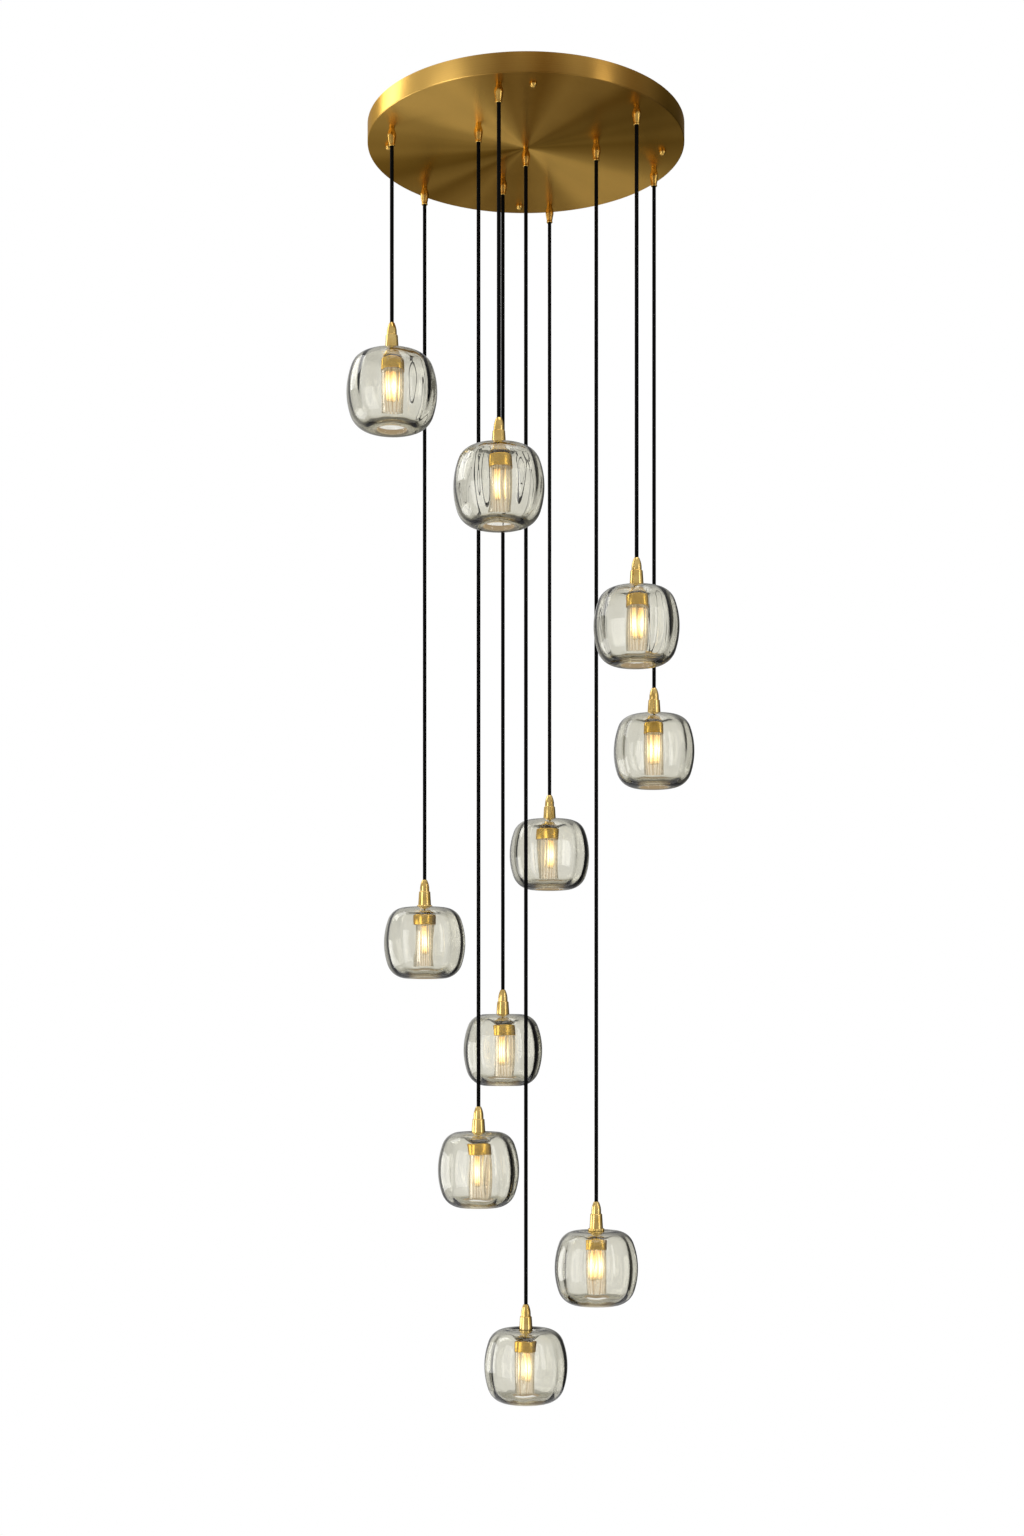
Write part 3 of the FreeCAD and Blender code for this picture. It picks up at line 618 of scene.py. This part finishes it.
def drawGlobe(bm, half, dimple):
    height, side, foot = globe["height"], globe["sideBend"], globe["footBend"]
    shoulder, wall, base = globe["shoulderBend"], globe["wall"], globe["base"]
    middle, sideAt, right = height / 2, half - side, math.pi / 2
    topLevel, floorLevel = height - shoulder, height - dimple
    inner = bm.verts.layers.float["inner"]
    # outside, from the mouth up to the hole
    footSteps, sideSteps, topSteps = globe["outerSteps"]
    footAt, footTurn = bendMeets(sideAt, side, foot, foot, middle)
    topAt, topTurn = bendMeets(sideAt, side, shoulder, topLevel, middle)
    start = bm.verts.new((globe["mouth"] * mm, 0, 0))
    vert = lineOn(bm, start, footAt, 0)
    vert = arcOn(bm, vert, (footAt, foot), right + footTurn, footSteps)
    vert = arcOn(bm, vert, (sideAt, middle), topTurn - footTurn, sideSteps)
    vert = arcOn(bm, vert, (topAt, topLevel), right - topTurn, topSteps)
    crest = lineOn(bm, vert, globe["floor"] + globe["slope"], height)
    floor = lineOn(bm, crest, globe["floor"], floorLevel)
    vert = lineOn(bm, floor, globe["hole"], floorLevel)
    outer = set(bm.verts)
    # inside, back down to the mouth
    steps = globe["innerSteps"]
    heelAt, heelTurn = bendMeets(sideAt, side - wall, foot - base, foot, middle)
    neckAt, neckTurn = bendMeets(sideAt, side - wall, shoulder - wall, topLevel, middle)
    vert = lineOn(bm, vert, globe["hole"], floorLevel - wall)
    inFloor = lineOn(bm, vert, globe["floor"], floorLevel - wall)
    inCrest = lineOn(bm, inFloor, globe["floor"] + globe["slope"], height - wall)
    vert = lineOn(bm, inCrest, neckAt, height - wall)
    vert = arcOn(bm, vert, (neckAt, topLevel), neckTurn - right, steps)
    vert = arcOn(bm, vert, (sideAt, middle), heelTurn - neckTurn, steps)
    vert = arcOn(bm, vert, (heelAt, foot), -right - heelTurn, steps)
    heel = lineOn(bm, vert, globe["mouth"], base)
    bm.edges.new((heel, start))
    for vert in bm.verts:
        vert[inner] = 0 if vert in outer else 1
    for corners, rounding in (((crest, floor, inCrest, inFloor), globe["dimpleRound"]),
                              ((start, heel), globe["lipRound"])):
        bmesh.ops.bevel(bm, geom=list(corners), offset=rounding * mm, affect="VERTICES",
                        segments=globe["roundSteps"], profile=0.5, material=-1)


# The outside of the foot gets a ring of painted shade, and the mouth a painted glow of the bulb's
# light
def paintFootShadeAndGlow(bm):
    inner, glow, paintedShade = (bm.verts.layers.float[name] for name in ("inner", "glow", "paintedShade"))
    for vert in bm.verts:
        reach = outRadius(vert) / mm - globe["mouth"]
        if vert.co.z / mm < globe["base"] - footPaint["slack"]:
            vert[glow] = max(0, 1 - reach / footPaint["glowReach"])
            fadeOut = (footPaint["reach"] - reach) / footPaint["fadeOut"]
            fading = min(1, reach / footPaint["fadeIn"], max(0, fadeOut))
            vert[paintedShade] = fading * (1 - vert[inner])


# Soft ribs and the unevenness of blown glass, which fade out at the foot and the crest
def blowUneven(bm, n):
    inner = bm.verts.layers.float["inner"]
    for vert in bm.verts:
        angle, inside = ringAngle(vert), vert[inner]
        rise = vert.co.z / mm / globe["height"]
        up = min(1, max(0, (rise - blowing["from"]) / blowing["height"]))
        belly = max(0, math.sin(math.pi * up)) ** blowing["fullness"]
        rib = blowing["outerRib"] + (blowing["innerRib"] - blowing["outerRib"]) * inside
        wave = blowing["outerWave"] + (blowing["innerWave"] - blowing["outerWave"]) * inside
        around = Vector((math.cos(angle), math.sin(angle), rise * blowing["climb"]
                         + blowing["lampShift"] * n + blowing["innerShift"] * inside))
        drift = noise.noise(around * blowing["driftSize"])
        size = blowing["rippleSize"]
        ripple = noise.noise(Vector((around.x * size, around.y * size,
                                     rise * blowing["rippleClimb"] + blowing["rippleShift"] * n)))
        lobes = math.cos(blowing["ribs"] * angle + blowing["ribTurn"] * drift + n)
        push = rib * lobes * (blowing["evenRib"] + blowing["unevenRib"] * abs(drift))
        push += wave * (blowing["drift"] * drift + blowing["ripple"] * ripple)
        if not inside:                              # the outside keeps within its own width
            push = min(push - rib, -blowing["keepIn"])
        setRadius(vert, outRadius(vert) + belly * push * mm)


def makeGlobe(n):
    low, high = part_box(f"shade_{n}")
    half = (high.x - low.x) / 2 / mm
    dimple = (high.z - lampPlaces[n - 1].z) / mm + globe["seat"]
    bm = bmesh.new()
    for layer in ("inner", "glow", "paintedShade"):
        bm.verts.layers.float.new(layer)
    drawGlobe(bm, half, dimple)
    bmesh.ops.spin(bm, geom=list(bm.verts) + list(bm.edges), cent=(0, 0, 0), axis=(0, 0, 1),
                   angle=2 * math.pi, steps=globe["steps"], use_merge=True)
    bmesh.ops.remove_doubles(bm, verts=bm.verts, dist=modelling["weld"])
    bmesh.ops.recalc_face_normals(bm, faces=bm.faces)
    paintFootShadeAndGlow(bm)
    blowUneven(bm, n)
    x, y = (low.x + high.x) / 2, (low.y + high.y) / 2
    bmesh.ops.translate(bm, verts=bm.verts, vec=(x, y, low.z))
    mesh = makeMesh(f"globe {n}", bm, [smoky], globe["sharpAngle"])
    addPiece(f"blownGlobe_{n}", mesh, f"lamp_{n}", "globe_glass", f"shade_{n}")


makePan()
makePanHardware()
print("pan made")
fittingMesh, sleeveMesh, bulbMesh = makeFitting(), makeSleeve(), makeBulb()
for n, place in enumerate(lampPlaces, start=1):
    for name, shared, slot, node in (("brassFitting", fittingMesh, "fitting_brass", "fitting"),
                                     ("flutedSleeve", sleeveMesh, "sleeve_glass", "sleeve"),
                                     ("slimBulb", bulbMesh, "bulb_glass", "bulb")):
        mesh = shared.copy()
        mesh.transform(Matrix.Translation(place))
        addPiece(f"{name}_{n}", mesh, f"lamp_{n}", slot, f"{node}_{n}")
    makeGlobe(n)
for piece in cords:
    piece.data.materials.append(sheath)
print("lamps made")


# ---- hardware above the pan, as the frame has it
hardware = {"sharpAngle": 35,
            "zinc": ("ceiling_bracket", "bracket_studs", "bracket_screws", "grip_nuts")}


def smoothCopy(name, node, finish, slot):
    bm = bmesh.new()
    bm.from_mesh(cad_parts[node].data)
    bmesh.ops.remove_doubles(bm, verts=bm.verts, dist=modelling["weld"])
    mesh = makeMesh(name, bm, [finish], hardware["sharpAngle"])
    addPiece(name, mesh, "ceiling_part", slot, node)


smoothCopy("cordTails", "cord_tails", sheath, "cord")
smoothCopy("junctionBlock", "junction_block", whitePlastic, "white_plastic")
for node in hardware["zinc"]:
    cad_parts[node].data.materials.clear()
    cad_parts[node].data.materials.append(zinc)
print("hardware finished")

# ---- studio: a pale round floor, soft lamps, and a white backdrop seen directly or through glass
floor = {"height": -2.9, "radius": 2.7, "corners": 96, "paper": (0.86, 0.86, 0.855),
         "shadow": (0.80, 0.80, 0.79), "grainSize": 3, "grain": 0.2, "rough": 0.7}
lamps = {"key": ((-2.6, -1.9, -1.5), 1.5, 3.0, 34), "fill": ((2.8, -2.2, -0.7), 0.6, 3.2, 18),
         "back": ((-2.3, 0.8, -1.75), 1.4, 1.4, 16), "edge": ((-2.8, 0.95, 1.1), 1.2, 1.8, 22),
         "top": ((0.3, -0.4, 1.9), 2.2, 2.2, 26)}     # place, width, height, power
lampAim = (0, 0, -1.0)
room = {"lowAt": -0.7, "highAt": 0.5, "low": 0.26, "high": 0.62, "shadeAim": (0.72, 0.69),
        "shadeFrom": 0.55, "shadeTo": 0.92, "shadeDepth": 0.85}


def makeFloor():
    bm = bmesh.new()
    bmesh.ops.create_circle(bm, cap_ends=True, segments=floor["corners"], radius=floor["radius"])
    bmesh.ops.translate(bm, verts=bm.verts, vec=(0, 0, floor["height"]))
    material, make = newFinish("pale floor")
    share = make.clouds(floor["grainSize"]) * floor["grain"]
    make.finish(make.surface({"Base Color": make.blend(share, floor["paper"], floor["shadow"]),
                              "Roughness": floor["rough"]}))
    ground = bpy.data.objects.new("floor", makeMesh("floor", bm, [material]))
    bpy.context.scene.collection.objects.link(ground)


def makeLamps():
    for name, (place, width, height, power) in lamps.items():
        light = bpy.data.lights.new(name, "AREA")
        light.shape, light.size, light.size_y, light.energy = "RECTANGLE", width, height, power
        holder = bpy.data.objects.new(name, light)
        holder.location = place
        aim = Vector(lampAim) - Vector(place)
        holder.rotation_euler = aim.to_track_quat("-Z", "Y").to_euler()
        holder.visible_camera = False
        bpy.context.scene.collection.objects.link(holder)


# The room is grey with a dark corner; the camera sees white, and so does light through glass alone
def makeWorld():
    world = bpy.data.worlds.new("studio")
    bpy.context.scene.world = world
    world.use_nodes = True
    make = NodeMaker(world.node_tree)
    x, y, z = make.parts(make.node("ShaderNodeTexCoord", output="Generated"))
    grey = make.stretch(z, room["lowAt"], room["highAt"], room["low"], room["high"])
    aside = x * room["shadeAim"][0] + y * room["shadeAim"][1]
    grey = grey * make.stretch(aside, room["shadeFrom"], room["shadeTo"], 1, 1 - room["shadeDepth"])
    straight = make.ray("Glossy Depth").sum("LESS_THAN", 0.5)
    through = make.ray("Is Transmission Ray") * straight
    backdrop = make.ray("Is Camera Ray").sum("MAXIMUM", through)
    white = make.node("ShaderNodeBackground", {"Color": (1, 1, 1), "Strength": 1.0})
    dim = make.node("ShaderNodeBackground", {"Color": grey, "Strength": 1.0})
    surface = make.node("ShaderNodeMixShader", {0: backdrop, 1: dim, 2: white})
    make.node("ShaderNodeOutputWorld", {"Surface": surface})


makeFloor()
makeLamps()
makeWorld()
bpy.context.scene.view_settings.view_transform = "Standard"
print("studio made")
